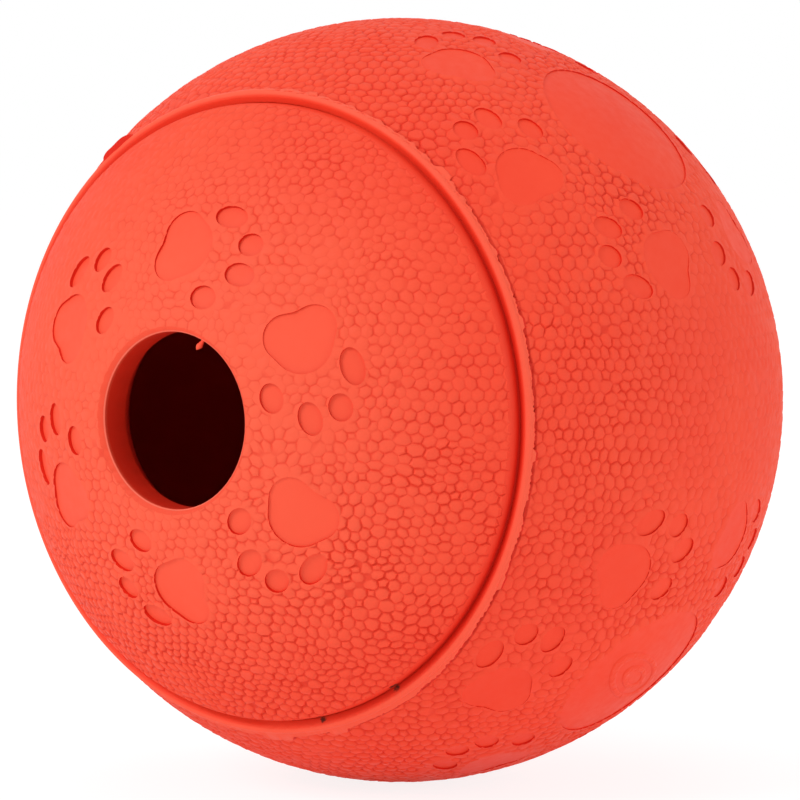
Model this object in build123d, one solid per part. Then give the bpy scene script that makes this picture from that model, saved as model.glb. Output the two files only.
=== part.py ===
"""Treat dispensing ball: a hollow rubber shell, a push-in cap with the treat hole, and the ring in their seam.

The ball's centre is the origin. The treat hole faces the front, -Y, and +Z is up. Lengths are in millimetres
and angles in degrees. Profiles are drawn as distance out from the hole's axis and height along it.
"""
import os
from math import acos, asin, cos, degrees, radians, sin, sqrt

from build123d import *

# Ball
ball_diameter = 70.0
wall = 4.8

# Treat hole, with a chamfered lip outside and a flare inside
hole_radius = 7.65
hole_length = 2.7
lip_width = 0.7
lip_depth = 0.45
flare_width = 1.0

# Seam between the cap and the shell, read across it from the cap to the shell
seam_angle = 54.3
shoulder_width = 1.4
shoulder_depth = 0.6
groove_width = 0.48
groove_depth = 0.8
bead_width = 0.72
bead_lap = 0.12
bead_side_depth = 0.3
bead_height = 0.25
bead_crest_share = 0.5

# Seat of the cap in the shell: a ledge for the ring, and a collar that the cap's plug pushes into
seat_thickness = 1.6
ledge_width = 1.4
plug_length = 6.5
plug_wall = 2.6
plug_chamfer = 0.7
collar_length = 6.0
plug_clearance = 0.15

# Rib on the ring, which holds it in a gland round the plug
rib_height = 1.2
gland_depth = 0.8
ring_clearance = 0.1

# Paw prints: a ring of them walks round the treat hole and round each medallion
prints_in_ring = 6
print_ring_angle = 25.2
print_inward_turn = 6.5
cap_print_depth = 0.35
shell_print_depth = 0.22
hole_ring_turn = 1.8
hole_ring_shift = 0.7
medallion_ring_turn = 49.4
pad_front_radius = 2.7
pad_heel_radius = 2.0
pad_heel_setback = 0.9
pad_heel_spread = 1.3
pad_notch_radius = 0.9

# Toes of a print, from the one furthest from the middle of its ring of prints to the nearest
toe_width = 2.1
far_toe_length = 3.3
far_toe_reach = 4.85
far_toe_bearing = 47.0
far_middle_toe_length = 2.4
far_middle_toe_reach = 6.5
far_middle_toe_bearing = 13.5
near_middle_toe_length = 2.9
near_middle_toe_reach = 6.55
near_middle_toe_bearing = -11.5
near_toe_length = 2.6
near_toe_reach = 5.45
near_toe_bearing = -47.5

# Round sunk medallions: some about the ball's girth and one at the rear
girth_medallions = 4
medallion_turn = 47.0
medallion_radius = 7.7
medallion_depth = 0.15

# How far a cutter runs past the surface that it cuts
overrun = 2.0

full_turn = 360.0
half_turn = 180.0
quarter_turn = 90.0
round_share = 1 - sqrt(0.5)


def polar(radius, angle):
    """Profile point at a radius from the ball's centre and an angle from the hole's axis."""
    return radius * sin(radians(angle)), radius * cos(radians(angle))


def on_sphere(radius, out):
    """Profile point on a sphere about the ball's centre, this far out from the axis."""
    return out, sqrt(radius**2 - out**2)


def angle_of(radius, out):
    """Angle from the axis of the point on a sphere that is this far out from the axis."""
    return degrees(asin(out / radius))


def arc_angle(length):
    """Angle that a length along the ball's surface spans at its centre."""
    return degrees(length / ball_radius)


# Sizes that follow from the ones above
ball_radius = ball_diameter / 2
inner_radius = ball_radius - wall
ring_floor = inner_radius + seat_thickness
ring_top = ring_floor + rib_height
ledge_radius = ring_floor - ring_clearance
ring_outer_angle = seam_angle - arc_angle(ring_clearance)
ring_inner_angle = seam_angle - arc_angle(bead_width)
lap_angle = ring_inner_angle - arc_angle(bead_lap)
lap_radius = ball_radius - groove_depth + ring_clearance
groove_angle = ring_inner_angle - arc_angle(groove_width)
shoulder_angle = groove_angle - arc_angle(shoulder_width)
socket_radius = ring_floor * sin(radians(seam_angle)) - ledge_width
plug_radius = socket_radius - plug_clearance
plug_bore = plug_radius - plug_wall
gland_radius = plug_radius - gland_depth
rib_radius = gland_radius + ring_clearance
ledge_height = sqrt(ledge_radius**2 - socket_radius**2)
plug_end = ledge_height - plug_length
collar_end = ledge_height - collar_length


def sphere_arc(radius, first_angle, last_angle):
    """Profile arc on a sphere about the ball's centre."""
    middle_angle = (first_angle + last_angle) / 2
    return ThreePointArc(polar(radius, first_angle), polar(radius, middle_angle), polar(radius, last_angle))


def turned(profile):
    """Solid that a closed profile sweeps about the hole's axis."""
    half_section = Plane(origin=(0, 0, 0), x_dir=(1, 0, 0), z_dir=(0, 0, -1))
    return revolve(half_section * make_face(profile), Axis.Y, full_turn)


def cap_blank():
    """Cap before its prints: a dome with the treat hole, and a plug with a gland under its edge."""
    lip_out, lip_height = on_sphere(ball_radius, hole_radius + lip_width)
    lip_foot = (hole_radius, lip_height - lip_depth)
    flare_out = hole_radius + flare_width
    flare_top = (hole_radius, lip_height - lip_depth - hole_length)
    shoulder_middle_radius = ball_radius - shoulder_depth * round_share
    shoulder_middle = polar(shoulder_middle_radius, (shoulder_angle + groove_angle) / 2)
    shoulder_foot = polar(ball_radius - shoulder_depth, groove_angle)
    groove_floor = ball_radius - groove_depth
    gland_top = ring_top + ring_clearance
    face_angle = ring_inner_angle - arc_angle(ring_clearance)
    plug_side = (plug_radius, plug_end + plug_chamfer)
    plug_tip = (plug_radius - plug_chamfer, plug_end)
    return turned([
        Line(on_sphere(inner_radius, flare_out), flare_top),
        Line(flare_top, lip_foot),
        Line(lip_foot, (lip_out, lip_height)),
        sphere_arc(ball_radius, angle_of(ball_radius, lip_out), shoulder_angle),
        ThreePointArc(polar(ball_radius, shoulder_angle), shoulder_middle, shoulder_foot),
        Line(shoulder_foot, polar(groove_floor, groove_angle)),
        sphere_arc(groove_floor, groove_angle, face_angle),
        Line(polar(groove_floor, face_angle), polar(gland_top, face_angle)),
        sphere_arc(gland_top, face_angle, angle_of(gland_top, gland_radius)),
        Line(on_sphere(gland_top, gland_radius), on_sphere(ledge_radius, gland_radius)),
        sphere_arc(ledge_radius, angle_of(ledge_radius, gland_radius), angle_of(ledge_radius, plug_radius)),
        Line(on_sphere(ledge_radius, plug_radius), plug_side),
        Line(plug_side, plug_tip),
        Line(plug_tip, (plug_bore, plug_end)),
        Line((plug_bore, plug_end), on_sphere(inner_radius, plug_bore)),
        sphere_arc(inner_radius, angle_of(inner_radius, plug_bore), angle_of(inner_radius, flare_out)),
    ])


def shell_blank():
    """Shell before its prints: a hollow ball with a mouth, the ring's ledge and the plug's collar in it."""
    collar_angle = degrees(acos(collar_end / inner_radius))
    collar_foot = (socket_radius, collar_end)
    return turned([
        sphere_arc(ball_radius, seam_angle, half_turn),
        Line(polar(ball_radius, half_turn), polar(inner_radius, half_turn)),
        sphere_arc(inner_radius, half_turn, collar_angle),
        Line(polar(inner_radius, collar_angle), collar_foot),
        Line(collar_foot, (socket_radius, ledge_height)),
        sphere_arc(ledge_radius, angle_of(ledge_radius, socket_radius), seam_angle),
        Line(polar(ledge_radius, seam_angle), polar(ball_radius, seam_angle)),
    ])


def seam_ring():
    """Ring that fills the seam: a round bead that laps over the groove's floor, a web on the shell's ledge, and a
    rib in the gland."""
    crest_angle = lap_angle + (ring_outer_angle - lap_angle) * bead_crest_share
    bead_foot = polar(lap_radius, lap_angle)
    bead_start = polar(ball_radius - bead_side_depth, lap_angle)
    bead_end = polar(ball_radius, ring_outer_angle)
    return turned([
        Line(bead_foot, bead_start),
        ThreePointArc(bead_start, polar(ball_radius + bead_height, crest_angle), bead_end),
        Line(bead_end, polar(ring_floor, ring_outer_angle)),
        sphere_arc(ring_floor, ring_outer_angle, angle_of(ring_floor, rib_radius)),
        Line(on_sphere(ring_floor, rib_radius), on_sphere(ring_top, rib_radius)),
        sphere_arc(ring_top, angle_of(ring_top, rib_radius), ring_inner_angle),
        Line(polar(ring_top, ring_inner_angle), polar(lap_radius, ring_inner_angle)),
        sphere_arc(lap_radius, ring_inner_angle, lap_angle),
    ])


def centre_frame(outward, zero):
    """Frame at the ball's centre whose Z points outward, and whose X is the zero of turns about it."""
    return Plane(origin=(0, 0, 0), x_dir=zero, z_dir=outward).location


def girth_frames():
    """Frames of the medallions about the girth, with turns counted from the hole's side."""
    turns = [medallion_turn + full_turn * n / girth_medallions for n in range(girth_medallions)]
    return [centre_frame((cos(radians(t)), 0, sin(radians(t))), (0, -1, 0)) for t in turns]


def stepped(frame, bearing, angle):
    """Frame whose Z has tipped by an angle, on a bearing counted anticlockwise as seen from outside."""
    return frame * Rot(0, 0, bearing) * Rot(0, angle, 0)


def sunk(outline, depth):
    """Cutter that sinks an outline into the ball's surface at the top of a frame."""
    return Pos(0, 0, ball_radius - depth) * extrude(outline, depth + overrun)


def pad_cutter(depth):
    """Cutter of a print's pad: round towards the toes, along +X, with two heels behind and a soft notch between."""
    front = Circle(pad_front_radius)
    heels = [Pos(-pad_heel_setback, side * pad_heel_spread) * Circle(pad_heel_radius) for side in (-1, 1)]
    halves = [make_hull(front.edges() + heel.edges()) for heel in heels]
    outline = halves[0] + halves[1]
    behind = [corner for corner in outline.vertices() if corner.X < 0]
    notch = min(behind, key=lambda corner: abs(corner.Y))
    return sunk(fillet(notch, pad_notch_radius), depth)


def toe_cutters(place, depth):
    """Cutters of a print's toes: ellipses that all point the way the print walks, along +X."""
    toes = [
        (far_toe_length, far_toe_reach, far_toe_bearing),
        (far_middle_toe_length, far_middle_toe_reach, far_middle_toe_bearing),
        (near_middle_toe_length, near_middle_toe_reach, near_middle_toe_bearing),
        (near_toe_length, near_toe_reach, near_toe_bearing),
    ]
    cutters = []
    for length, reach, bearing in toes:
        seat = stepped(place, bearing, arc_angle(reach)) * Rot(0, 0, -bearing)
        cutters.append(seat * sunk(Ellipse(length / 2, toe_width / 2), depth))
    return cutters


def print_ring(frame, first_turn, depth):
    """Cutters of a ring of prints that walk clockwise about a frame's Z."""
    pad = pad_cutter(depth)
    cutters = []
    for n in range(prints_in_ring):
        place = stepped(frame, -first_turn - full_turn * n / prints_in_ring, print_ring_angle)
        place = place * Rot(0, 0, -quarter_turn - print_inward_turn)
        cutters.append(place * pad)
        cutters += toe_cutters(place, depth)
    return cutters


def medallion_cutter(frame):
    """Cutter of a round medallion whose floor follows the ball."""
    height = wall + overrun
    plug = Cylinder(medallion_radius, height, align=(Align.CENTER, Align.CENTER, Align.MIN))
    return frame * (Pos(0, 0, inner_radius) * plug - Sphere(ball_radius - medallion_depth))


def front_cap():
    """Cap with a ring of prints round the treat hole, whose middle lies a little to the hole's -X side."""
    shift = radians(arc_angle(hole_ring_shift))
    ring_frame = centre_frame((-sin(shift), -cos(shift), 0), (0, 0, 1))
    return cap_blank() - print_ring(ring_frame, hole_ring_turn, cap_print_depth)


def rear_shell():
    """Shell with its medallions, and a ring of prints round each of them."""
    frames = girth_frames() + [centre_frame((0, 1, 0), (0, 0, 1))]
    cutters = [medallion_cutter(frame) for frame in frames]
    for frame in frames:
        cutters += print_ring(frame, medallion_ring_turn, shell_print_depth)
    return shell_blank() - cutters


os.makedirs("parts", exist_ok=True)
for name, piece in [("rear_shell", rear_shell()), ("seam_ring", seam_ring()), ("front_cap", front_cap())]:
    export_step(piece, f"parts/{name}.step")
    print(name, "volume", round(piece.volume), "mm3, solids", len(piece.solids()))
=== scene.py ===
"""Looks of the treat dispensing ball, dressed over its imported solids.

The ball's centre is the origin, the treat hole faces -Y and +Z is up. Lengths are in metres. A place on
the ball is given by its angle from the hole's axis, and by its turn about that axis, from +Z towards +X,
both in degrees. A depth is measured inwards from the ball's face.
"""
from math import cos, degrees, pi, radians, sin, tau

import bpy
import numpy as np
from mathutils import Matrix, Vector
from mathutils.bvhtree import BVHTree


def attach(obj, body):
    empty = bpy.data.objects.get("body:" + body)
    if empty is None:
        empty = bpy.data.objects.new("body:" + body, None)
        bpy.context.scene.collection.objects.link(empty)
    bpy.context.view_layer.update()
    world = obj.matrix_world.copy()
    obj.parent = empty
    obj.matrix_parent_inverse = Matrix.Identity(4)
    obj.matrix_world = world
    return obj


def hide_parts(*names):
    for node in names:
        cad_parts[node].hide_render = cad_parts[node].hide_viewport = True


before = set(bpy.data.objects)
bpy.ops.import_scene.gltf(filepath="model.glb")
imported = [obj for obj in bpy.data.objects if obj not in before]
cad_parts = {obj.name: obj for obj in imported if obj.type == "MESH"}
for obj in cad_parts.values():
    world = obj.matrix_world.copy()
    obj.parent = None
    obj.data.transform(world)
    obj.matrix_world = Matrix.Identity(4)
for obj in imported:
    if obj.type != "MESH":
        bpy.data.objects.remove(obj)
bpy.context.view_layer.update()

MM = 0.001
MERGE = 1e-7

# Ball, as it was packed
BALL_RADIUS = 35.0 * MM
HOLE_RADIUS = 7.65 * MM
LIP_ANGLE = 12.6
LIP_END = 14.5
SHOULDER_START = 49.5
GROOVE_START = 50.2
GROOVE_FLOOR = 52.3
BEAD_MIDDLE = 53.3
SEAM_ANGLE = 54.3
MEDALLION_FLOOR = 34.85 * MM
POCKET_DEPTH = 1.2 * MM
POCKET_RADIUS = BALL_RADIUS - POCKET_DEPTH

# Pebbles: the width of one along its row and the height of a row, the share by which the rows crowd on
# one side, and the seed of their places
CAP_PEBBLE = (1.05 * MM, 0.91 * MM)
CAP_CROWDING = 0.0
CAP_SEED = 11
SHELL_PEBBLE = (1.205 * MM, 1.01 * MM)
SHELL_CROWDING = 0.13
SHELL_SEED = 3

# Where the rows crowd, about +Z from +X towards +Y, and how they sway and are nudged out of line
CROWDED_SIDE = radians(-35)
SWAY = 0.5 * MM
SWAY_PITCH = 11 * MM
SWAY_SEEDS = (41, 42, 43)
NUDGE_SHARE = 0.11
EVENING = 0.25

# Shape of a pebble, and of the crease round it
PEBBLE_INSET = 0.2 * MM
PEBBLE_JOIN = 0.33 * MM
LEAST_PEBBLE = 0.35 * MM**2
PEBBLE_DROP = 0.03 * MM
PEBBLE_UNEVEN = 0.012 * MM
PEBBLE_TILT = 0.06
CREASE_DEPTH = 0.14 * MM
CREASE_LOW, CREASE_HIGH = 0.55, 1.3

# Smooth margin round what is sunk into the skin
SMOOTH_MARGIN = 0.02 * MM
MARGIN_FADE = 0.3 * MM
FLUSH_SHARE = 0.08

# How the skin is cut onto the solids
SKIN_GAP = 0.01 * MM
SUNK_RADIUS = BALL_RADIUS - 2 * SKIN_GAP
RIM_OVERRUN = 0.3 * MM
# STEEP_SHARE picks the steep walls that get the painted shade
STEEP_SHARE = 0.6
INSIDE_KEPT = 0.12
PRINTS_KEPT = 0.5
SKIN_CORNER = radians(45)
FLAT_TOPS = 30

# Wear: where the depth of the creases changes, and the share of it at both ends
CAP_SIDE_TILT = 0.5
CAP_SIDE_ENDS, CAP_SIDE_WEAR = (-26 * MM, -4 * MM), (0.45, 1.0)
CAP_HEIGHT_ENDS, CAP_HEIGHT_WEAR = (-17 * MM, 9 * MM), (1.28, 0.8)
CAP_HOLE_ENDS, CAP_HOLE_WEAR = (16, 34), (0.74, 1.0)
CAP_PATCHES, CAP_PATCH_PITCH, CAP_PATCH_SEED = 0.18, 14 * MM, 5
WORN_PLACE = (125.5, 90.0)
SHELL_SIDE_ENDS = (0.55, 0.85)
SHELL_HEIGHT_ENDS = (-0.5, -0.15)
SHELL_WEAR = 0.5
SHELL_PATCHES, SHELL_PATCH_PITCH, SHELL_PATCH_SEED = 0.2, 16 * MM, 8

# Plain oval rings on a medallion: the medallion's turn, and each ring's radius and width
RINGED_TURN = 133.0
RINGS = ((2.1 * MM, 0.62 * MM), (0.95 * MM, 0.56 * MM))
RING_HEIGHT = 0.13 * MM
RING_STRETCH = 2.3
RING_SLANT = 28.6
RING_SIDES = 8
RING_STEPS = 60

# Bead: how far its side leans over the groove, and how deep that side reaches
BEAD_LEAN = 0.2
BEAD_LEAN_DEPTH = 0.7 * MM
BEAD_SIDE_DEPTH = 0.75 * MM
BEAD_CORNER = radians(50)

# Moulding flash along the bead's outer edge: its section, and the turns between which its sloped edge is
# painted dark as its shadow
FLASH_STEPS = 900
FLASH_REACH = 0.22 * MM
FLASH_BACK = 0.14 * MM
FLASH_LIFT = 0.06 * MM
FLASH_LIFT_LIMIT = 1.5
FLASH_ROOT = 0.2 * MM
FLASH_HALF = 0.1 * MM
FLASH_UNDER = 0.035 * MM
FLASH_SKIRT = 0.24 * MM
FLASH_SHADED = (50.0, 240.0)

# Its ragged edge: the middle level, and each wave's share, pitch on a circle of radius 1, and seed
FLASH_LEVEL = 0.5
FLASH_WAVES = ((0.5, 0.06, 31), (0.35, 0.013, 32))

# Its wider part, the flange: the turns at which it starts, is full, fades and ends
FLANGE_REACH = 0.3 * MM
FLANGE_TURNS = (128.0, 146.0, 192.0, 212.0)
FLANGE_MIDDLE = 169.0

# Its tags: the turn, the width in degrees and the reach in millimetres of each, and their common outline
FLASH_TAGS = (
    (41.5, 4.0, 0.45), (164.0, 5.0, 0.95), (177.0, 8.0, 1.15), (203.0, 4.0, 0.6), (95.0, 2.4, 0.35),
    (72.0, 3.0, 0.3), (118.0, 4.0, 0.35), (250.0, 4.0, 0.5), (290.0, 3.0, 0.4), (10.0, 3.0, 0.3))
TAG_RISE = (-0.5, -0.125)
TAG_TEAR = (0.42, 0.5)
TAG_UNEVEN, TAG_PITCH, TAG_SEED = 0.12, 0.02, 33

# Flake of flash that stands on the bead
FLAKE_TURN = 324.75
FLAKE_SPAN = 8.0
FLAKE_ANGLE = 53.5
FLAKE_RISE = 0.78 * MM
FLAKE_FOOT = 0.1 * MM
FLAKE_THICK = 0.3 * MM
FLAKE_LEAN = 0.5
FLAKE_BLUNT = 0.25
FLAKE_END = 0.02
FLAKE_WAVES, FLAKE_PHASE = 9, 1
FLAKE_SWAY = 0.12
FLAKE_UNEVEN = 0.06
FLAKE_GRID = (30, 4)

# Drop of rubber on the treat hole's edge, with its neck as a share of its bulb
NUB_TURN = 24.0
NUB_DEPTH = 0.75 * MM
NUB_LENGTH = 1.7 * MM
NUB_BULB = 0.3 * MM
NUB_NECK = 0.55
NUB_SWELL = (0.5, 0.8)
NUB_BLUNT = 1.6
NUB_LEAN = 0.2 * MM
NUB_OUTWARDS = 2 * MM

# Slots of the shell's and the cap's materials, the last being the walls' painted shade, and the bead's
# second one, also painted shade
SMOOTH_SLOT, SKIN_SLOT, WALL_SHADE_SLOT = 0, 1, 2
SHADED_SLOT = 1

# Reds of each rubber, bright and deep, its roughness, and its grain: how many to a metre and how high
# The skin's reds are a little paler than the smooth rubber's, a painted sheen
SKIN_REDS = ((0.89, 0.077, 0.033), (0.87, 0.066, 0.029))
SKIN_ROUGH, SKIN_GRAIN = 0.62, (5200, 0.02 * MM)
SMOOTH_REDS = ((0.89, 0.068, 0.028), (0.87, 0.058, 0.024))
SMOOTH_ROUGH, SMOOTH_GRAIN = 0.58, (2600, 0.005 * MM)
# The walls' reds are darker, as painted shade
WALL_SHADE_REDS = ((0.76, 0.024, 0.008), (0.7, 0.018, 0.006))
WALL_ROUGH = 0.6

# How uneven all rubber is: features to a metre, and the part of the noise that shows
BLOTCH_SCALE, BLOTCH_ENDS = 90, (0.35, 0.65)
FLECK_SCALE, FLECK_ENDS, FLECK_SHARE = 1100, (0.4, 0.75), 0.35
GLOSS_ENDS, GLOSS_SPREAD = (0.3, 0.7), 0.06
SHINE = 0.17
GRAIN_STRENGTH = 0.6

# Painted sheen: paler rubber round the hole. Fades by angle are in parts of a cosine
SHEEN_ANGLES, SHEEN_FADE = (0, 14), 0.32
SKIN_SHEEN, SHEEN_ON_SKIN = 0.7, (0.9, 0.125, 0.062)
SMOOTH_SHEEN, SHEEN_ON_SMOOTH = 0.6, (0.9, 0.12, 0.06)

# Painted shade in the creases
CREASE_SHADE, CREASE_SHADE_RED = 0.45, (0.66, 0.014, 0.004)
CREASE_SHADE_DEPTHS = (PEBBLE_DROP + CREASE_DEPTH, PEBBLE_DROP + CREASE_DEPTH - 0.09 * MM)

# Side away from the light, on which the painted shade in the groove and the painted shadow line are full:
# its turn, where it starts and is full, and the rest's share
SHADED_SIDE_TURN, SHADED_SIDE_ENDS = 100.0, (6 * MM, 26 * MM)
SHADOW_LINE_REST, GROOVE_SHADE_REST = 0.2, 0.05

# Painted shadow of the bead's edge: a dark ragged line on the shell along the bead, shifted past the flange
LINE_ANGLES, LINE_FADE = (SEAM_ANGLE - 0.3, SEAM_ANGLE + 0.36), 0.003
SHADOW_LINE_TINT, SHADOW_LINE_RED = 0.8, (0.55, 0.011, 0.003)
LINE_RAGGED, LINE_RAGGED_SCALE = 0.007, 900
LINE_SHIFT, LINE_SHIFT_ENDS = 0.008, (21 * MM, 26 * MM)

# Painted shade in the groove, dark on its side away from the light
GROOVE_ANGLES, GROOVE_FADE = (GROOVE_START, BEAD_MIDDLE - 0.4), 0.018
GROOVE_SHADES, GROOVE_SHADE_DEPTHS = (0.95, 0), (0.5 * MM, -0.3 * MM)
GROOVE_SHADE_RED = (0.7, 0.014, 0.004)

# Painted highlight on the crest of the bead
CREST_ANGLES, CREST_FADE, CREST_HIGHLIGHT = (BEAD_MIDDLE - 0.3, SEAM_ANGLE + 2), 0.006, 0.7
CREST_DEPTHS, CREST_HIGHLIGHT_RED = (0.03 * MM, -0.1 * MM), (0.93, 0.12, 0.062)

# Painted shade: deeper red below the skin, and dark inside the ball
SUNK_SHADES, SUNK_SHADE_DEPTHS, SUNK_SHADE_RED = (0.9, 0), (0.9 * MM, 0.45 * MM), (0.78, 0.02, 0.006)
INSIDE_SHADES, INSIDE_SHADE_DEPTHS, INSIDE_SHADE_RED = (0.8, 0), (6 * MM, 4.5 * MM), (0.35, 0.02, 0.014)

# Painted shade on the lip round the hole, and a thin painted highlight along its edge
LIP_DEPTHS = (1.0 * MM, 0.7 * MM)
LIP_ANGLES, LIP_FADE = (LIP_ANGLE + 0.4, LIP_END), 0.002
LIP_SHADE, LIP_SHADE_RED = 0.6, (0.86, 0.07, 0.03)
LIP_ROUND_START = LIP_ANGLE + 0.6
EDGE_HIGHLIGHT_RADIUS, EDGE_HIGHLIGHT_FADE = HOLE_RADIUS + 0.06 * MM, (0.01 * MM, 0.07 * MM)
EDGE_HIGHLIGHT_TINTS, EDGE_HIGHLIGHT_RED = (0.6, 0), (0.93, 0.24, 0.16)

# Specks of dirt in the groove: the turn and size of each, and how ragged they are
GRIT = ((148.25, 0.5 * MM), (166.25, 0.47 * MM))
GRIT_DEPTH = 0.45 * MM
GRIT_CORE = 0.65
GRIT_RAGGED, GRIT_RAGGED_SCALE = 0.5 * MM, 3500
GRIT_TINTS, GRIT_BROWN = (0.9, 0), (0.06, 0.022, 0.014)

# Camera, from the photograph, which is 800 pixels wide
CAMERA_AZIMUTH = 35.5
CAMERA_ELEVATION = 3.7
CAMERA_DISTANCE = 0.42
CAMERA_LENS = 205.8
CAMERA_SENSOR = 36.0
CAMERA_SHIFT = -1 / 800
CAMERA_NEAR = 0.01

# Lamps: how far each is to the camera's right, above the ball and towards the camera, its size and power
LAMPS = {
    "key_light": (-0.62, 0.5, 0.5, 0.4, 3.4),
    "fill_light": (0.75, 0.1, 0.2, 0.7, 1.65),
    "top_light": (0.0, 0.9, -0.1, 0.8, 1.2),
}

# Studio: the light from all round, and the floor as it lights the ball and as the camera sees it
WHITE = (1, 1, 1, 1)
WORLD_LIGHT = 0.6
WORLD_SHOWN = 1.0
FLOOR_SIZE = 12
FLOOR_PALE, FLOOR_BOUNCE = (0.95, 0.95, 0.95, 1), 0.17
FLOOR_SHADE, FLOOR_GLOW = (0.25, 0.25, 0.25, 1), 0.85


def pick(piece):
    """Makes a piece the only one selected, and the active one."""
    bpy.ops.object.select_all(action="DESELECT")
    piece.select_set(True)
    bpy.context.view_layer.objects.active = piece


def edit(piece, select="SELECT"):
    """Opens a piece in edit mode with all of it selected, none of it, or what was selected before."""
    pick(piece)
    bpy.ops.object.mode_set(mode="EDIT")
    if select:
        bpy.ops.mesh.select_all(action=select)


def close_edit():
    bpy.ops.object.mode_set(mode="OBJECT")


def edit_faces(piece, wanted):
    """Opens a piece in edit mode with only those faces selected for which a test holds."""
    edit(piece, "DESELECT")
    bpy.ops.mesh.select_mode(type="FACE")
    close_edit()
    for face in piece.data.polygons:
        face.select = bool(wanted(face))
    edit(piece, None)


def spin_round(steps, axis):
    """Spins what is open in edit mode once round an axis through the ball's centre, and closes it."""
    bpy.ops.mesh.spin(steps=steps, angle=tau, center=(0, 0, 0), axis=axis)
    bpy.ops.mesh.select_all(action="SELECT")
    bpy.ops.mesh.remove_doubles(threshold=MERGE)
    bpy.ops.mesh.normals_make_consistent(inside=False)
    close_edit()


def points_of(mesh):
    """The mesh's points as rows of an array."""
    flat = np.empty(len(mesh.vertices) * 3, np.float32)
    mesh.vertices.foreach_get("co", flat)
    return flat.reshape(-1, 3).astype(float)


def set_points(mesh, points):
    mesh.vertices.foreach_set("co", points.astype(np.float32).ravel())
    mesh.update()


def face_rows(mesh, key):
    """The mesh's face centres or normals as rows of an array."""
    flat = np.empty(len(mesh.polygons) * 3, np.float32)
    mesh.polygons.foreach_get(key, flat)
    return flat.reshape(-1, 3).astype(float)


def lengths(points):
    return np.linalg.norm(points, axis=1)


def on_ball(points, radius=BALL_RADIUS):
    """The points moved straight out or in to a radius, or to one each."""
    return points * (radius / lengths(points))[:, None]


def place(angle, turn, radius=BALL_RADIUS):
    """Point at an angle from the hole's axis and a turn about it."""
    a, t = radians(angle), radians(turn)
    return Vector((sin(a) * sin(t), -cos(a), sin(a) * cos(t))) * radius


def places(angle, turns, radius):
    """Points at angles from the hole's axis and turns about it, each at its own radius."""
    a, t = np.radians(angle), np.radians(turns)
    return np.stack([np.sin(a) * np.sin(t), -np.cos(a), np.sin(a) * np.cos(t)], 1) * radius[:, None]


def angles_of(points):
    """Angle of each point from the hole's axis."""
    return np.degrees(np.arccos(np.clip(-points[:, 1] / lengths(points), -1, 1)))


def turns_of(points):
    """Turn of each point about the hole's axis."""
    return np.degrees(np.arctan2(points[:, 0], points[:, 2])) % 360


def ripple(points, pitch, seed):
    """Smooth uneven field over space, between about -1 and 1, whose waves are about a pitch long."""
    draw = np.random.default_rng(seed)
    waves = draw.normal(size=(7, 3))
    waves *= (tau / pitch / lengths(waves) * draw.uniform(0.7, 1.4, 7))[:, None]
    return np.sin(points @ waves.T + draw.uniform(0, tau, 7)).sum(1) / 4


def ramp(values, low, high):
    """0 below low, 1 above high, and a smooth rise between them."""
    share = np.clip((values - low) / (high - low), 0, 1)
    return share * share * (3 - 2 * share)


def eased(values, ends, at_ends):
    """Smooth change from one number to another as the values go from end to end."""
    return at_ends[0] + (at_ends[1] - at_ends[0]) * ramp(values, *ends)


def apply_modifier(piece, name, kind, **settings):
    pick(piece)
    change = piece.modifiers.new(name, kind)
    for key, value in settings.items():
        setattr(change, key, value)
    bpy.ops.object.modifier_apply(modifier=name)


def combine(piece, other, operation):
    """Joins a piece with another or crops it to the other, which is used up."""
    apply_modifier(piece, "combine", "BOOLEAN", operation=operation, solver="MANIFOLD", object=other)
    bpy.data.objects.remove(other)


def give_materials(piece, materials, slot=SMOOTH_SLOT):
    """Gives a piece these materials, and all its faces the one in a slot."""
    piece.data.materials.clear()
    for material in materials:
        piece.data.materials.append(material)
    piece.data.polygons.foreach_set("material_index", [slot] * len(piece.data.polygons))


def copy_of(node, name):
    """Copy of a CAD node's mesh as a new piece, with its loose triangles merged."""
    piece = bpy.data.objects.new(name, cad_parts[node].data.copy())
    bpy.context.collection.objects.link(piece)
    edit(piece)
    bpy.ops.mesh.remove_doubles(threshold=MERGE)
    bpy.ops.mesh.customdata_custom_splitnormals_clear()
    bpy.ops.mesh.mark_sharp(clear=True)
    close_edit()
    return piece


def thin_out(piece, lowest, highest, share):
    """Thins out the triangles whose lowest corner lies between two radii, down to a share of them."""
    radius = lengths(points_of(piece.data))
    edit_faces(piece, lambda face: lowest < radius[list(face.vertices)].min() < highest)
    bpy.ops.mesh.decimate(ratio=share)
    close_edit()


# Materials

def add_node(tree, kind, **settings):
    """A node with its settings, or its input values where the name is an input's."""
    made = tree.nodes.new(kind)
    for key, value in settings.items():
        if hasattr(made, key):
            setattr(made, key, value)
        else:
            made.inputs[key].default_value = value
    return made


def noise_on(tree, where, scale, detail):
    """Socket with noise over the piece, of features about 1/scale metres across."""
    made = add_node(tree, "ShaderNodeTexNoise", Scale=scale, Detail=detail)
    tree.links.new(where.outputs["Object"], made.inputs["Vector"])
    return made.outputs["Fac"]


def mix_colours(tree, share, first, second):
    """Colour between two, each a socket or a plain colour, by a share socket."""
    made = add_node(tree, "ShaderNodeMix", data_type="RGBA")
    tree.links.new(share, made.inputs[0])
    for slot, colour in ((made.inputs[6], first), (made.inputs[7], second)):
        if isinstance(colour, tuple):
            slot.default_value = (*colour, 1)
        else:
            tree.links.new(colour, slot)
    return made.outputs[2]


def map_range(tree, value, ends, at_ends):
    """Socket that goes from one number to another as a value goes from end to end, and no further."""
    made = add_node(tree, "ShaderNodeMapRange")
    tree.links.new(value, made.inputs["Value"])
    for key, number in zip(("From Min", "From Max", "To Min", "To Max"), (*ends, *at_ends)):
        made.inputs[key].default_value = number
    return made.outputs["Result"]


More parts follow.
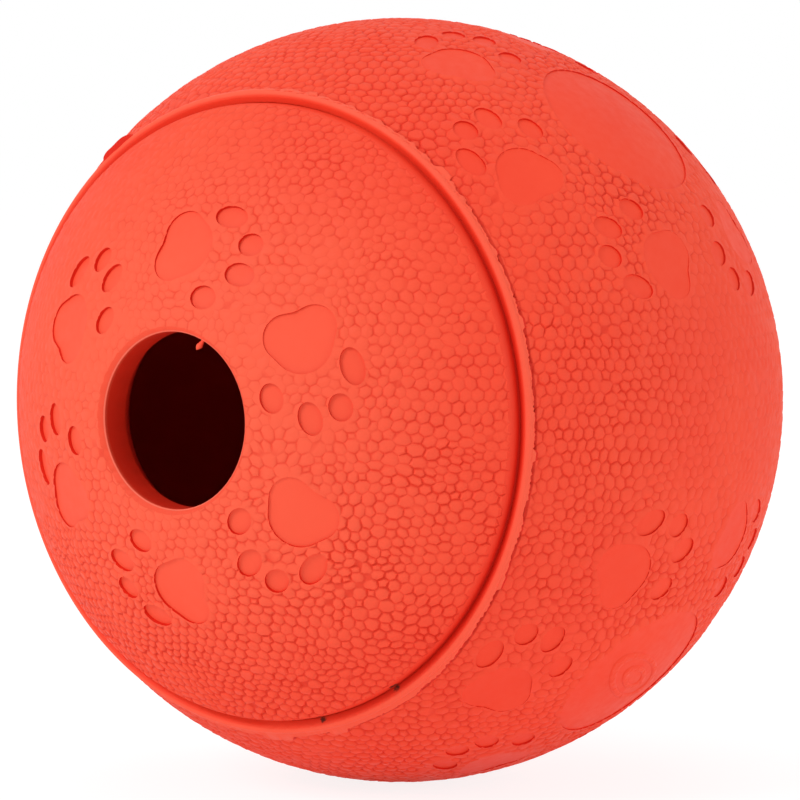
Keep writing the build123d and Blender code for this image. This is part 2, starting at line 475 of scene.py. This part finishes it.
def maths(tree, operation, first, second=0):
    """Socket with the result of an operation on two sockets or numbers."""
    made = add_node(tree, "ShaderNodeMath", operation=operation)
    for slot, value in zip(made.inputs, (first, second)):
        if isinstance(value, (int, float)):
            slot.default_value = value
        else:
            tree.links.new(value, slot)
    return made.outputs[0]


def product(tree, *factors):
    """Socket with the product of several sockets or numbers."""
    total = factors[0]
    for factor in factors[1:]:
        total = maths(tree, "MULTIPLY", total, factor)
    return total


def measure(tree, operation, first, second=None):
    """Socket with a number got from one vector socket, or from it and a plain vector."""
    made = add_node(tree, "ShaderNodeVectorMath", operation=operation)
    tree.links.new(first, made.inputs[0])
    if second is not None:
        made.inputs[1].default_value = second
    return made.outputs["Value"]


def length_from_centre(tree, where):
    """Socket with each place's distance from the ball's centre."""
    return measure(tree, "LENGTH", where.outputs["Object"])


def along(tree, where, direction):
    """Socket with each place's distance from the ball's centre along a direction."""
    return measure(tree, "DOT_PRODUCT", where.outputs["Object"], direction)


def cosine_from_hole(tree, where):
    """Socket with the cosine of each place's angle from the hole's axis."""
    return maths(tree, "DIVIDE", along(tree, where, (0, -1, 0)), length_from_centre(tree, where))


def by_depth(tree, radius, depths, shares):
    """Share that changes between two depths below the ball's face."""
    return map_range(tree, radius, [BALL_RADIUS - depth for depth in depths], shares)


def by_side(tree, where, turn, ends, rest):
    """Share that rises from the rest's to 1 towards a turn, between two distances from the hole's axis."""
    return map_range(tree, along(tree, where, place(90, turn, 1)), ends, (rest, 1))


def band(tree, cosine, angles, fade, share):
    """Share that is full between two angles from the hole's axis and fades past them."""
    first, last = (cos(radians(angle)) for angle in angles)
    off = maths(tree, "ABSOLUTE", maths(tree, "SUBTRACT", cosine, (first + last) / 2))
    half = (first - last) / 2
    return map_range(tree, off, (half, half + fade), (share, 0))


def rubber(name, reds, rough, grain):
    """Red rubber that is uneven in colour and gloss, with a fine grain.

    Gives its material, tree and shader, the node of its coordinates, and the socket of its colour.
    """
    material = bpy.data.materials.new(name)
    material.use_nodes = True
    tree = material.node_tree
    shader = tree.nodes["Principled BSDF"]
    where = add_node(tree, "ShaderNodeTexCoord")
    bright, deep = reds
    blotch = noise_on(tree, where, BLOTCH_SCALE, 3)
    colour = mix_colours(tree, map_range(tree, blotch, BLOTCH_ENDS, (0, 1)), bright, deep)
    fleck = noise_on(tree, where, FLECK_SCALE, 2)
    colour = mix_colours(tree, map_range(tree, fleck, FLECK_ENDS, (0, FLECK_SHARE)), colour, deep)
    tree.links.new(colour, shader.inputs["Base Color"])
    gloss = map_range(tree, fleck, GLOSS_ENDS, (rough - GLOSS_SPREAD, rough + GLOSS_SPREAD))
    tree.links.new(gloss, shader.inputs["Roughness"])
    shader.inputs["Specular IOR Level"].default_value = SHINE
    grain_scale, grain_height = grain
    bump = add_node(tree, "ShaderNodeBump", Strength=GRAIN_STRENGTH, Distance=grain_height)
    tree.links.new(noise_on(tree, where, grain_scale, 4), bump.inputs["Height"])
    tree.links.new(bump.outputs["Normal"], shader.inputs["Normal"])
    return material, tree, shader, where, colour


def pebble_skin():
    """Rubber of the pebbled skin, with a painted sheen round the hole, painted shade in the creases and a
    painted shadow along the bead.
    """
    material, tree, shader, where, colour = rubber("pebble_skin", SKIN_REDS, SKIN_ROUGH, SKIN_GRAIN)
    cosine = cosine_from_hole(tree, where)
    # Painted sheen: paler round the hole
    sheen = band(tree, cosine, SHEEN_ANGLES, SHEEN_FADE, SKIN_SHEEN)
    colour = mix_colours(tree, sheen, colour, SHEEN_ON_SKIN)
    # Painted shade: deeper red down in the creases
    crease = by_depth(tree, length_from_centre(tree, where), CREASE_SHADE_DEPTHS, (CREASE_SHADE, 0))
    colour = mix_colours(tree, crease, colour, CREASE_SHADE_RED)
    # Painted shadow: a dark ragged line on the shell just past the bead's edge, fuller on the side away from
    # the light
    flange = by_side(tree, where, FLANGE_MIDDLE, LINE_SHIFT_ENDS, 0)
    ragged = product(tree, noise_on(tree, where, LINE_RAGGED_SCALE, 3), LINE_RAGGED)
    shift = maths(tree, "ADD", ragged, product(tree, flange, LINE_SHIFT))
    shifted = maths(tree, "ADD", maths(tree, "SUBTRACT", cosine, LINE_RAGGED / 2), shift)
    shadow_line = band(tree, shifted, LINE_ANGLES, LINE_FADE, SHADOW_LINE_TINT)
    side = by_side(tree, where, SHADED_SIDE_TURN, SHADED_SIDE_ENDS, SHADOW_LINE_REST)
    shadow_line = product(tree, shadow_line, maths(tree, "MAXIMUM", side, flange))
    colour = mix_colours(tree, shadow_line, colour, SHADOW_LINE_RED)
    tree.links.new(colour, shader.inputs["Base Color"])
    return material


def lip_shade_and_highlight(tree, where, cosine, colour):
    """Colour with painted shade on the lip round the treat hole, and a thin painted highlight along its
    edge.
    """
    skin = by_depth(tree, length_from_centre(tree, where), LIP_DEPTHS, (0, 1))
    lip_shade_share = band(tree, cosine, LIP_ANGLES, LIP_FADE, LIP_SHADE)
    colour = mix_colours(tree, product(tree, lip_shade_share, skin), colour, LIP_SHADE_RED)
    flat = add_node(tree, "ShaderNodeVectorMath", operation="MULTIPLY")
    tree.links.new(where.outputs["Object"], flat.inputs[0])
    flat.inputs[1].default_value = (1, 0, 1)
    from_axis = measure(tree, "LENGTH", flat.outputs["Vector"])
    off = maths(tree, "ABSOLUTE", maths(tree, "SUBTRACT", from_axis, EDGE_HIGHLIGHT_RADIUS))
    edge_highlight = product(tree, map_range(tree, off, EDGE_HIGHLIGHT_FADE, EDGE_HIGHLIGHT_TINTS), skin)
    return mix_colours(tree, edge_highlight, colour, EDGE_HIGHLIGHT_RED)


def groove_dirt(tree, where, colour):
    """Colour with the specks of dirt in the groove."""
    uneven = product(tree, noise_on(tree, where, GRIT_RAGGED_SCALE, 2), GRIT_RAGGED)
    uneven = maths(tree, "SUBTRACT", uneven, GRIT_RAGGED / 2)
    for turn, size in GRIT:
        middle = place(GROOVE_FLOOR, turn, BALL_RADIUS - GRIT_DEPTH)
        off = measure(tree, "DISTANCE", where.outputs["Object"], middle)
        ragged = maths(tree, "ADD", off, uneven)
        speck = map_range(tree, ragged, (GRIT_CORE * size, size), GRIT_TINTS)
        colour = mix_colours(tree, speck, colour, GRIT_BROWN)
    return colour


def smooth_rubber():
    """Rubber of the smooth sunk floors, the bead and the inside, with a painted sheen round the hole,
    painted highlights on the bead's crest and the hole's edge, painted shade below the skin, in the groove,
    inside the ball and on the lip, and specks of dirt in the groove.
    """
    material, tree, shader, where, colour = rubber(
        "smooth_red_rubber", SMOOTH_REDS, SMOOTH_ROUGH, SMOOTH_GRAIN)
    radius = length_from_centre(tree, where)
    cosine = cosine_from_hole(tree, where)
    # Painted sheen: paler round the hole
    sheen = band(tree, cosine, SHEEN_ANGLES, SHEEN_FADE, SMOOTH_SHEEN)
    colour = mix_colours(tree, sheen, colour, SHEEN_ON_SMOOTH)
    # Painted highlight: paler along the bead's crest
    crest_highlight = band(tree, cosine, CREST_ANGLES, CREST_FADE, CREST_HIGHLIGHT)
    crest_highlight = product(tree, crest_highlight, by_depth(tree, radius, CREST_DEPTHS, (0, 1)))
    colour = mix_colours(tree, crest_highlight, colour, CREST_HIGHLIGHT_RED)
    # Painted shade: deeper red below the skin, kept out of the groove on its lit side
    side = by_side(tree, where, SHADED_SIDE_TURN, SHADED_SIDE_ENDS, GROOVE_SHADE_REST)
    groove = band(tree, cosine, GROOVE_ANGLES, GROOVE_FADE, 1)
    lit_groove = product(tree, groove, maths(tree, "SUBTRACT", 1.0, side))
    sunk_shade = by_depth(tree, radius, SUNK_SHADE_DEPTHS, SUNK_SHADES)
    sunk_shade = product(tree, sunk_shade, maths(tree, "SUBTRACT", 1.0, lit_groove))
    colour = mix_colours(tree, sunk_shade, colour, SUNK_SHADE_RED)
    # Painted shade in the groove, darkest on its side away from the light
    slope_ends = [cos(radians(angle)) for angle in (GROOVE_START, GROOVE_FLOOR)]
    slope = map_range(tree, cosine, slope_ends, (0, 1))
    groove_shade = product(tree, slope, by_depth(tree, radius, GROOVE_SHADE_DEPTHS, GROOVE_SHADES), side, groove)
    colour = mix_colours(tree, groove_shade, colour, GROOVE_SHADE_RED)
    # Painted shade: dark inside the ball
    colour = mix_colours(tree, by_depth(tree, radius, INSIDE_SHADE_DEPTHS, INSIDE_SHADES), colour, INSIDE_SHADE_RED)
    # Painted shade on the lip and a painted highlight along the hole's edge
    colour = lip_shade_and_highlight(tree, where, cosine, colour)
    colour = groove_dirt(tree, where, colour)
    tree.links.new(colour, shader.inputs["Base Color"])
    return material


def shade_rubber():
    """Darker red that is painted shade, on the steep walls of what is sunk into the skin, on the flash's
    edge and on the flake.
    """
    return rubber("painted_shade_rubber", WALL_SHADE_REDS, WALL_ROUGH, SMOOTH_GRAIN)[0]


# Pebbled skin

def scattered(width, height, crowding, draw):
    """Points all over the ball in rows round it, like bricks, swayed out of line and nudged at random.

    Crowding is the share by which they lie closer along their rows on one side, and wider on the other.
    """
    rows = round(pi * BALL_RADIUS / height)
    points = []
    for row in range(rows):
        down = pi * (row + 0.5) / rows
        count = max(3, round(tau * BALL_RADIUS * sin(down) / width))
        turn = draw.uniform(0, tau) + tau * np.arange(count) / count
        turn -= crowding * np.sin(turn - CROWDED_SIDE)
        level = np.full(count, cos(down))
        points.append(np.stack([sin(down) * np.cos(turn), sin(down) * np.sin(turn), level], 1))
    points = BALL_RADIUS * np.concatenate(points)
    sway = np.stack([ripple(points, SWAY_PITCH, seed) for seed in SWAY_SEEDS], 1)
    return on_ball(points + SWAY * sway + draw.normal(0, NUDGE_SHARE * width, points.shape))


def hull_of(name, points):
    """Ball of triangles with its corners at these points."""
    mesh = bpy.data.meshes.new(name)
    mesh.from_pydata(points.tolist(), [], [])
    ball = bpy.data.objects.new(name, mesh)
    bpy.context.collection.objects.link(ball)
    edit(ball)
    bpy.ops.mesh.convex_hull(join_triangles=False)
    close_edit()
    return ball


def cell_nodes():
    """Node group that turns a mesh's points into faces, and its faces into corners."""
    group = bpy.data.node_groups.new("pebble_cells", "GeometryNodeTree")
    for way in ("INPUT", "OUTPUT"):
        group.interface.new_socket("Geometry", in_out=way, socket_type="NodeSocketGeometry")
    start = group.nodes.new("NodeGroupInput")
    dual = group.nodes.new("GeometryNodeDualMesh")
    end = group.nodes.new("NodeGroupOutput")
    group.links.new(start.outputs[0], dual.inputs[0])
    group.links.new(dual.outputs[0], end.inputs[0])
    return group


def ball_of_cells(name, points):
    """Ball of flat cells, one about each point, once the points are evened out a little."""
    ball = hull_of(name, points)
    edit(ball)
    bpy.ops.mesh.vertices_smooth(factor=EVENING)
    close_edit()
    points = on_ball(points_of(ball.data))
    bpy.data.objects.remove(ball)
    ball = hull_of(name, points)
    apply_modifier(ball, "cells", "NODES", node_group=cell_nodes())
    edit(ball)
    bpy.ops.mesh.remove_doubles(threshold=PEBBLE_JOIN)
    close_edit()
    return ball


def smooth_places(piece):
    """Search tree of a piece's sunk floors, which the pebbles keep clear of."""
    points = points_of(piece.data)
    radius = lengths(points)
    angle = angles_of(points)
    lip_or_shoulder = (angle < LIP_END) | (angle > SHOULDER_START) & (angle < SEAM_ANGLE)
    faces = []
    for face in piece.data.polygons:
        corners = list(face.vertices)
        sunk = POCKET_RADIUS < radius[corners].min() < SUNK_RADIUS
        if sunk and not lip_or_shoulder[corners].any():
            faces.append(corners)
    return BVHTree.FromPolygons(points.tolist(), faces)


def pebbled_share(points, near):
    """How far each point has risen from the smooth margin, 0, to the open skin, 1."""
    clear = np.array([near.find_nearest(p)[3] for p in on_ball(points).tolist()])
    return ramp(clear, SMOOTH_MARGIN, SMOOTH_MARGIN + MARGIN_FADE)


def inset_pebbles(ball, near):
    """Insets the top of a pebble in each cell on the open skin, and leaves the tops selected."""
    pebbled = pebbled_share(points_of(ball.data), near)

    def has_room(face):
        return pebbled[list(face.vertices)].max() > FLUSH_SHARE and face.area > LEAST_PEBBLE

    edit_faces(ball, has_room)
    bpy.ops.mesh.inset(thickness=PEBBLE_INSET, use_individual=True)
    close_edit()


def pebbled_ball(name, size, crowding, seed, near, wear):
    """Closed ball of pebbles, which lie flush and smooth beside the places in a search tree."""
    draw = np.random.default_rng(seed)
    ball = ball_of_cells(name, scattered(*size, crowding, draw))
    inset_pebbles(ball, near)
    mesh = ball.data
    points = on_ball(points_of(mesh))
    tops = np.zeros(len(points), bool)
    mesh.vertices.foreach_get("select", tops)
    pebbled = pebbled_share(points, near)
    lift = np.zeros(len(points))
    for face in mesh.polygons:
        if face.select:
            corners = list(face.vertices)
            tilt = draw.normal(0, PEBBLE_TILT, 3)
            uneven = draw.normal(0, PEBBLE_UNEVEN)
            lift[corners] = uneven + (points[corners] - points[corners].mean(0)) @ tilt
    lift = np.minimum(lift, PEBBLE_DROP)
    crease = CREASE_DEPTH * wear(points) * draw.uniform(CREASE_LOW, CREASE_HIGH, len(points))
    radius = BALL_RADIUS - SKIN_GAP - PEBBLE_DROP * pebbled
    radius += pebbled * np.where(tops, lift, -crease)
    set_points(mesh, on_ball(points, radius))
    return ball


def worn_cap(points):
    """How deep the cap's creases are: shallower on its worn side, higher up and round the hole."""
    side = points[:, 0] - CAP_SIDE_TILT * points[:, 2]
    depth = eased(side, CAP_SIDE_ENDS, CAP_SIDE_WEAR)
    depth *= eased(points[:, 2], CAP_HEIGHT_ENDS, CAP_HEIGHT_WEAR)
    depth *= eased(angles_of(points), CAP_HOLE_ENDS, CAP_HOLE_WEAR)
    return depth * (1 + CAP_PATCHES * ripple(points, CAP_PATCH_PITCH, CAP_PATCH_SEED))


def worn_shell(points):
    """How deep the shell's creases are: shallower on the upper part of the side that is worn most."""
    side = points @ np.array(place(*WORN_PLACE, 1)) / BALL_RADIUS
    worn = ramp(side, *SHELL_SIDE_ENDS) * ramp(points[:, 2] / BALL_RADIUS, *SHELL_HEIGHT_ENDS)
    patches = 1 + SHELL_PATCHES * ripple(points, SHELL_PATCH_PITCH, SHELL_PATCH_SEED)
    return (1 - SHELL_WEAR * worn) * patches


def paint_wall_shade(mesh):
    """Gives the steep walls of the sunk prints and medallions the darker red of painted shade."""
    centres = face_rows(mesh, "center")
    angle = angles_of(centres)
    steep = np.abs((face_rows(mesh, "normal") * on_ball(centres, 1)).sum(1)) < STEEP_SHARE
    sunk = lengths(centres) > POCKET_RADIUS
    open_skin = (angle > LIP_END + 1) & (angle < SHOULDER_START) | (angle > SEAM_ANGLE + 1)
    slot = np.zeros(len(centres), np.int32)
    mesh.polygons.foreach_get("material_index", slot)
    slot[(slot == SMOOTH_SLOT) & steep & sunk & open_skin] = WALL_SHADE_SLOT
    mesh.polygons.foreach_set("material_index", slot)


def soften_lip(mesh):
    """Takes the sharp mark off the edges round the treat hole's lip, which is rounded."""
    angle = angles_of(points_of(mesh))
    for edge in mesh.edges:
        at = angle[list(edge.vertices)]
        if edge.use_edge_sharp and at.min() > LIP_ROUND_START and at.max() < LIP_END:
            edge.use_edge_sharp = False


def skinned(piece, ball, materials):
    """Crops a piece to the pebbled ball. What the ball's face cuts becomes skin, the rest is smooth."""
    give_materials(piece, materials, SMOOTH_SLOT)
    give_materials(ball, materials, SKIN_SLOT)
    points = points_of(piece.data)
    outside = lengths(points) > BALL_RADIUS - SKIN_GAP
    points[outside] = on_ball(points[outside], BALL_RADIUS + RIM_OVERRUN)
    set_points(piece.data, points)
    combine(piece, ball, "INTERSECT")
    pick(piece)
    bpy.ops.object.shade_smooth_by_angle(angle=SKIN_CORNER, keep_sharp_edges=False)
    edit(piece, "DESELECT")
    piece.active_material_index = SKIN_SLOT
    bpy.ops.object.material_slot_select()
    bpy.ops.mesh.region_to_loop()
    bpy.ops.mesh.mark_sharp()
    close_edit()
    soften_lip(piece.data)
    paint_wall_shade(piece.data)
    apply_modifier(piece, "flat_tops", "WEIGHTED_NORMAL", weight=FLAT_TOPS, keep_sharp=True)


# Pieces

def medallion_ring(direction, ring_radius, width):
    """Low oval ring that stands on a medallion's floor."""
    bpy.ops.object.select_all(action="DESELECT")
    bpy.ops.mesh.primitive_circle_add(vertices=RING_SIDES, radius=1, rotation=(pi / 2, 0, 0))
    ring = bpy.context.object
    ring.name = "medallion_ring"
    bpy.ops.object.transform_apply()
    edit(ring)
    bpy.ops.transform.resize(value=(width / 2, 1, RING_HEIGHT))
    bpy.ops.transform.translate(value=(ring_radius, 0, MEDALLION_FLOOR))
    spin_round(RING_STEPS, (0, 0, 1))
    across = Vector((0, 1, 0)).cross(direction)
    turn = Matrix((across, Vector((0, 1, 0)), direction)).transposed()
    points = points_of(ring.data)
    slant = np.array(Matrix.Rotation(-radians(RING_SLANT), 3, "Z"))
    flat = (points * (1, RING_STRETCH, 0)) @ slant.T + (0, 0, MEDALLION_FLOOR)
    set_points(ring.data, on_ball(flat, points[:, 2]) @ np.array(turn).T)
    return ring


def shell_piece(materials):
    """Pebbled shell with plain low rings on one of its medallions."""
    shell = copy_of("rear_shell", "pebbled_shell")
    near = smooth_places(shell)
    thin_out(shell, 0, POCKET_RADIUS, INSIDE_KEPT)
    thin_out(shell, POCKET_RADIUS, SUNK_RADIUS, PRINTS_KEPT)
    direction = place(90, RINGED_TURN, 1)
    for ring_radius, width in RINGS:
        combine(shell, medallion_ring(direction, ring_radius, width), "UNION")
    ball = pebbled_ball("shell_pebbles", SHELL_PEBBLE, SHELL_CROWDING, SHELL_SEED, near, worn_shell)
    skinned(shell, ball, materials)
    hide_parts("rear_shell")
    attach(shell, "ball")
    return shell


def hole_nub():
    """Small drop of rubber that hangs into the treat hole from its edge by a short neck."""
    bpy.ops.object.select_all(action="DESELECT")
    bpy.ops.mesh.primitive_uv_sphere_add(segments=14, ring_count=12, radius=1)
    nub = bpy.context.object
    points = points_of(nub.data)
    share = (points[:, 2] + 1) / 2
    width = NUB_BULB * eased(share, NUB_SWELL, (NUB_NECK, 1.0))
    width *= np.clip(NUB_BLUNT * np.sin(pi * share), 0, 1)
    points[:, :2] *= (width / np.maximum(lengths(points[:, :2]), 1e-9))[:, None]
    points[:, 0] += NUB_LEAN * share**2
    points[:, 2] = NUB_LENGTH * (share - 0.5)
    set_points(nub.data, points)
    seat = place(LIP_ANGLE, NUB_TURN, BALL_RADIUS - NUB_DEPTH)
    inward = Vector((-seat.x, -NUB_OUTWARDS, -seat.z))
    turn = Vector((0, 0, 1)).rotation_difference(inward)
    nub.data.transform(Matrix.Translation(seat) @ turn.to_matrix().to_4x4())
    return nub


def cap_piece(materials):
    """Pebbled cap with the treat hole."""
    cap = copy_of("front_cap", "pebbled_cap")
    near = smooth_places(cap)
    combine(cap, hole_nub(), "UNION")
    ball = pebbled_ball("cap_pebbles", CAP_PEBBLE, CAP_CROWDING, CAP_SEED, near, worn_cap)
    skinned(cap, ball, materials)
    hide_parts("front_cap")
    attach(cap, "cap")
    return cap


def flash_reach(turns):
    """How far the flash runs out over the shell at each turn: ragged, wider at the flange, with tags."""
    around = np.stack([np.cos(np.radians(turns)), np.sin(np.radians(turns)), np.zeros(len(turns))], 1)
    ragged = FLASH_LEVEL
    for share, pitch, seed in FLASH_WAVES:
        ragged = ragged + share * ripple(around, pitch, seed)
    start, full, fading, end = FLANGE_TURNS
    flange = FLANGE_REACH * ramp(turns, start, full) * (1 - ramp(turns, fading, end))
    reach = FLASH_REACH * np.clip(ragged, 0, None) - FLASH_BACK + flange
    uneven = 1 + TAG_UNEVEN * ripple(around, TAG_PITCH, TAG_SEED)
    for turn, width, size in FLASH_TAGS:
        off = ((turns - turn + 180) % 360 - 180) / width
        tag = size * MM * ramp(off, *TAG_RISE) * (1 - ramp(off, *TAG_TEAR)) * uneven
        reach = np.maximum(reach, tag - FLASH_BACK)
    return reach


def flash(materials):
    """Thin ragged film of rubber that the mould left on the shell along the bead."""
    root = SEAM_ANGLE - degrees(FLASH_ROOT / BALL_RADIUS)
    bpy.ops.object.select_all(action="DESELECT")
    bpy.ops.mesh.primitive_plane_add(size=1)
    film = bpy.context.object
    film.name = "flash"
    top = BALL_RADIUS + FLASH_HALF
    section = (
        place(root, 0, BALL_RADIUS - FLASH_HALF), place(SEAM_ANGLE, 0, BALL_RADIUS - FLASH_UNDER),
        place(root, 0, top), place(SEAM_ANGLE, 0, top))
    set_points(film.data, np.array(section))
    edit(film)
    bpy.ops.mesh.delete(type="ONLY_FACE")
    bpy.ops.mesh.select_all(action="SELECT")
    spin_round(FLASH_STEPS, (0, 1, 0))
    points = points_of(film.data)
    edge = angles_of(points) > (root + SEAM_ANGLE) / 2
    turns = turns_of(points[edge])
    reach = flash_reach(turns)
    radius = lengths(points[edge])
    upper = radius > BALL_RADIUS
    lift = FLASH_LIFT * np.clip(reach / FLASH_REACH, 0, FLASH_LIFT_LIMIT) * upper
    skirt = FLASH_SKIRT * ramp(reach, -FLASH_BACK, FLASH_BACK) * ~upper
    out = SEAM_ANGLE + np.degrees((reach + skirt) / BALL_RADIUS)
    points[edge] = places(out, turns, radius + lift)
    set_points(film.data, points)
    give_materials(film, materials)
    # Painted shadow: the flash's sloped outer edge gets the darker red between these turns
    first, last = FLASH_SHADED
    for face in film.data.polygons:
        corners = list(face.vertices)
        if edge[corners].all() and first < turns_of(points[corners]).mean() < last:
            face.material_index = SHADED_SLOT
    return film


def flake(materials):
    """Torn flake of flash that stands up from the bead."""
    bpy.ops.object.select_all(action="DESELECT")
    bpy.ops.mesh.primitive_grid_add(x_subdivisions=FLAKE_GRID[0], y_subdivisions=FLAKE_GRID[1], size=1)
    made = bpy.context.object
    made.name = "flake"
    grid = points_of(made.data) + (0.5, 0.5, 0)
    way, up = grid[:, 0], grid[:, 1]
    rise = FLAKE_RISE * np.clip(np.sin(pi * way), FLAKE_END, None) ** FLAKE_BLUNT
    rise *= 1 + FLAKE_UNEVEN * np.sin(FLAKE_WAVES * way + FLAKE_PHASE)
    radius = BALL_RADIUS - FLAKE_FOOT + up * rise
    angle = FLAKE_ANGLE + FLAKE_LEAN * up + FLAKE_SWAY * np.sin(FLAKE_WAVES * way)
    set_points(made.data, places(angle, FLAKE_TURN + FLAKE_SPAN * (way - 0.5), radius))
    apply_modifier(made, "thick", "SOLIDIFY", thickness=FLAKE_THICK, offset=0)
    # Painted shade: the flake is all in the darker red
    give_materials(made, materials, SHADED_SLOT)
    edit(made)
    bpy.ops.mesh.normals_make_consistent(inside=False)
    close_edit()
    return made


def lean_bead(ring):
    """Leans the bead's side out over the groove's floor."""
    points = points_of(ring.data)
    radius = lengths(points)
    angle = angles_of(points)
    side = (angle < BEAD_MIDDLE) & (radius > BALL_RADIUS - BEAD_SIDE_DEPTH)
    lean = BEAD_LEAN * np.clip((BALL_RADIUS - radius[side]) / BEAD_LEAN_DEPTH, 0, 1)
    points[side] = places(angle[side] - lean, turns_of(points[side]), radius[side])
    set_points(ring.data, points)


def ring_piece(materials):
    """Bead in the seam, with the flash along it."""
    ring = copy_of("seam_ring", "bead_ring")
    give_materials(ring, materials)
    lean_bead(ring)
    combine(ring, flash(materials), "UNION")
    combine(ring, flake(materials), "UNION")
    pick(ring)
    bpy.ops.object.shade_smooth_by_angle(angle=BEAD_CORNER, keep_sharp_edges=False)
    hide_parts("seam_ring")
    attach(ring, "ring")
    return ring


def triangles(piece):
    return sum(len(face.vertices) - 2 for face in piece.data.polygons)


# Stage

def view_axes():
    """The directions from the ball's centre to the camera, and to the camera's right."""
    az, el = radians(CAMERA_AZIMUTH), radians(CAMERA_ELEVATION)
    to_camera = Vector((sin(az) * cos(el), -cos(az) * cos(el), sin(el)))
    return to_camera, Vector((cos(az), sin(az), 0))


def add_camera():
    to_camera = view_axes()[0]
    data = bpy.data.cameras.new("camera")
    data.lens = CAMERA_LENS
    data.sensor_width = CAMERA_SENSOR
    data.shift_x = CAMERA_SHIFT
    data.clip_start = CAMERA_NEAR
    camera = bpy.data.objects.new("camera", data)
    camera.location = to_camera * CAMERA_DISTANCE
    camera.rotation_euler = to_camera.to_track_quat("Z", "Y").to_euler()
    bpy.context.collection.objects.link(camera)
    bpy.context.scene.camera = camera


def add_softbox(name, across, above, towards, size, power):
    """Large soft lamp that faces the ball's centre."""
    to_camera, right = view_axes()
    data = bpy.data.lights.new(name, "AREA")
    data.shape = "DISK"
    data.size = size
    data.energy = power
    lamp = bpy.data.objects.new(name, data)
    lamp.location = right * across + Vector((0, 0, above)) + to_camera * towards
    lamp.rotation_euler = lamp.location.to_track_quat("Z", "Y").to_euler()
    lamp.visible_camera = False
    bpy.context.collection.objects.link(lamp)


def split_by_ray(tree, lighting, shown, output):
    """Puts out one shader to the rays that light the ball, and another to those that show it."""
    path = tree.nodes.new("ShaderNodeLightPath")
    seen = maths(tree, "MAXIMUM", path.outputs["Is Camera Ray"], path.outputs["Is Glossy Ray"])
    seen = maths(tree, "MAXIMUM", seen, path.outputs["Is Transmission Ray"])
    mix = tree.nodes.new("ShaderNodeMixShader")
    out = tree.nodes.new(output)
    for slot, socket in zip(mix.inputs, (seen, lighting, shown)):
        tree.links.new(socket, slot)
    tree.links.new(mix.outputs[0], out.inputs[0])


def add_world():
    """White studio to the camera and in reflections, and soft light from all round."""
    world = bpy.data.worlds.new("studio")
    world.use_nodes = True
    bpy.context.scene.world = world
    tree = world.node_tree
    tree.nodes.clear()
    light = add_node(tree, "ShaderNodeBackground", Color=WHITE, Strength=WORLD_LIGHT)
    shown = add_node(tree, "ShaderNodeBackground", Color=WHITE, Strength=WORLD_SHOWN)
    split_by_ray(tree, light.outputs[0], shown.outputs[0], "ShaderNodeOutputWorld")


def glowing_matt(tree, colour, glow):
    """Socket with a matt shader that also glows white a little."""
    matt = add_node(tree, "ShaderNodeBsdfDiffuse", Color=colour)
    light = add_node(tree, "ShaderNodeEmission", Color=WHITE, Strength=glow)
    both = tree.nodes.new("ShaderNodeAddShader")
    tree.links.new(matt.outputs[0], both.inputs[0])
    tree.links.new(light.outputs[0], both.inputs[1])
    return both.outputs[0]


def add_floor():
    """Plain white floor under the ball, which keeps a soft shadow."""
    bpy.ops.object.select_all(action="DESELECT")
    bpy.ops.mesh.primitive_plane_add(size=FLOOR_SIZE, location=(0, 0, -BALL_RADIUS))
    floor = bpy.context.object
    floor.name = "floor"
    bpy.ops.object.transform_apply()
    material = bpy.data.materials.new("white_floor")
    material.use_nodes = True
    tree = material.node_tree
    tree.nodes.clear()
    lighting = glowing_matt(tree, FLOOR_PALE, FLOOR_BOUNCE)
    shown = glowing_matt(tree, FLOOR_SHADE, FLOOR_GLOW)
    split_by_ray(tree, lighting, shown, "ShaderNodeOutputMaterial")
    floor.data.materials.append(material)


smooth = smooth_rubber()
# deep is the darker red of painted shade
deep = shade_rubber()
layers = (smooth, pebble_skin(), deep)
for made in (shell_piece(layers), cap_piece(layers), ring_piece((smooth, deep))):
    print(made.name, "triangles", triangles(made))
add_camera()
add_world()
add_floor()
for lamp_name, settings in LAMPS.items():
    add_softbox(lamp_name, *settings)
bpy.context.scene.view_settings.view_transform = "Standard"
